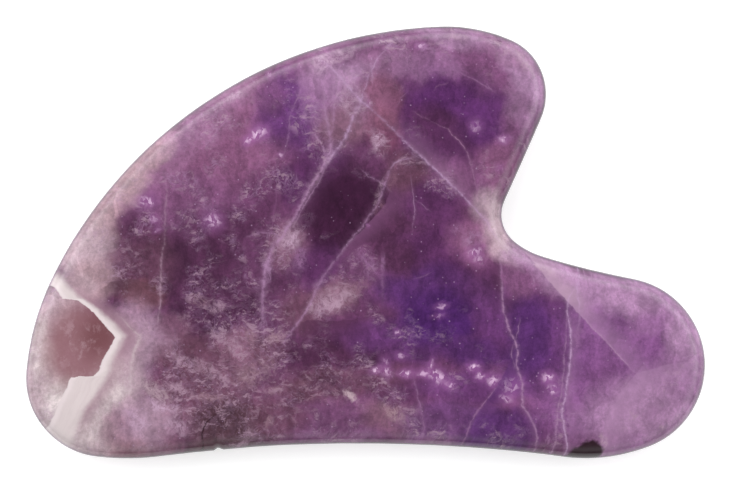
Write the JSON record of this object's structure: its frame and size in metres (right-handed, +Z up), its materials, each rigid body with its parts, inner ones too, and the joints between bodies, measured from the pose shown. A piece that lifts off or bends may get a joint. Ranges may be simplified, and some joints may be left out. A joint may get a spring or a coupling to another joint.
{
  "type": "gua sha scraper",
  "caption": "Hand-held facial massage scraper: a flat polished amethyst plate with a jaw notch between two lobes and a long hollow edge.",
  "frame": {"origin": "middle of the plate's length and width, on its flat underside", "axes": "+X along the length towards the blunt nose, +Y towards the crown beside the jaw notch, +Z up out of the face"},
  "size_m": [0.086, 0.0546, 0.0064],
  "materials": {
    "amethyst": "polished, banded purple with white veins"
  },
  "bodies": {
    "root": {"scraper": "amethyst"}
  },
  "joints": []
}
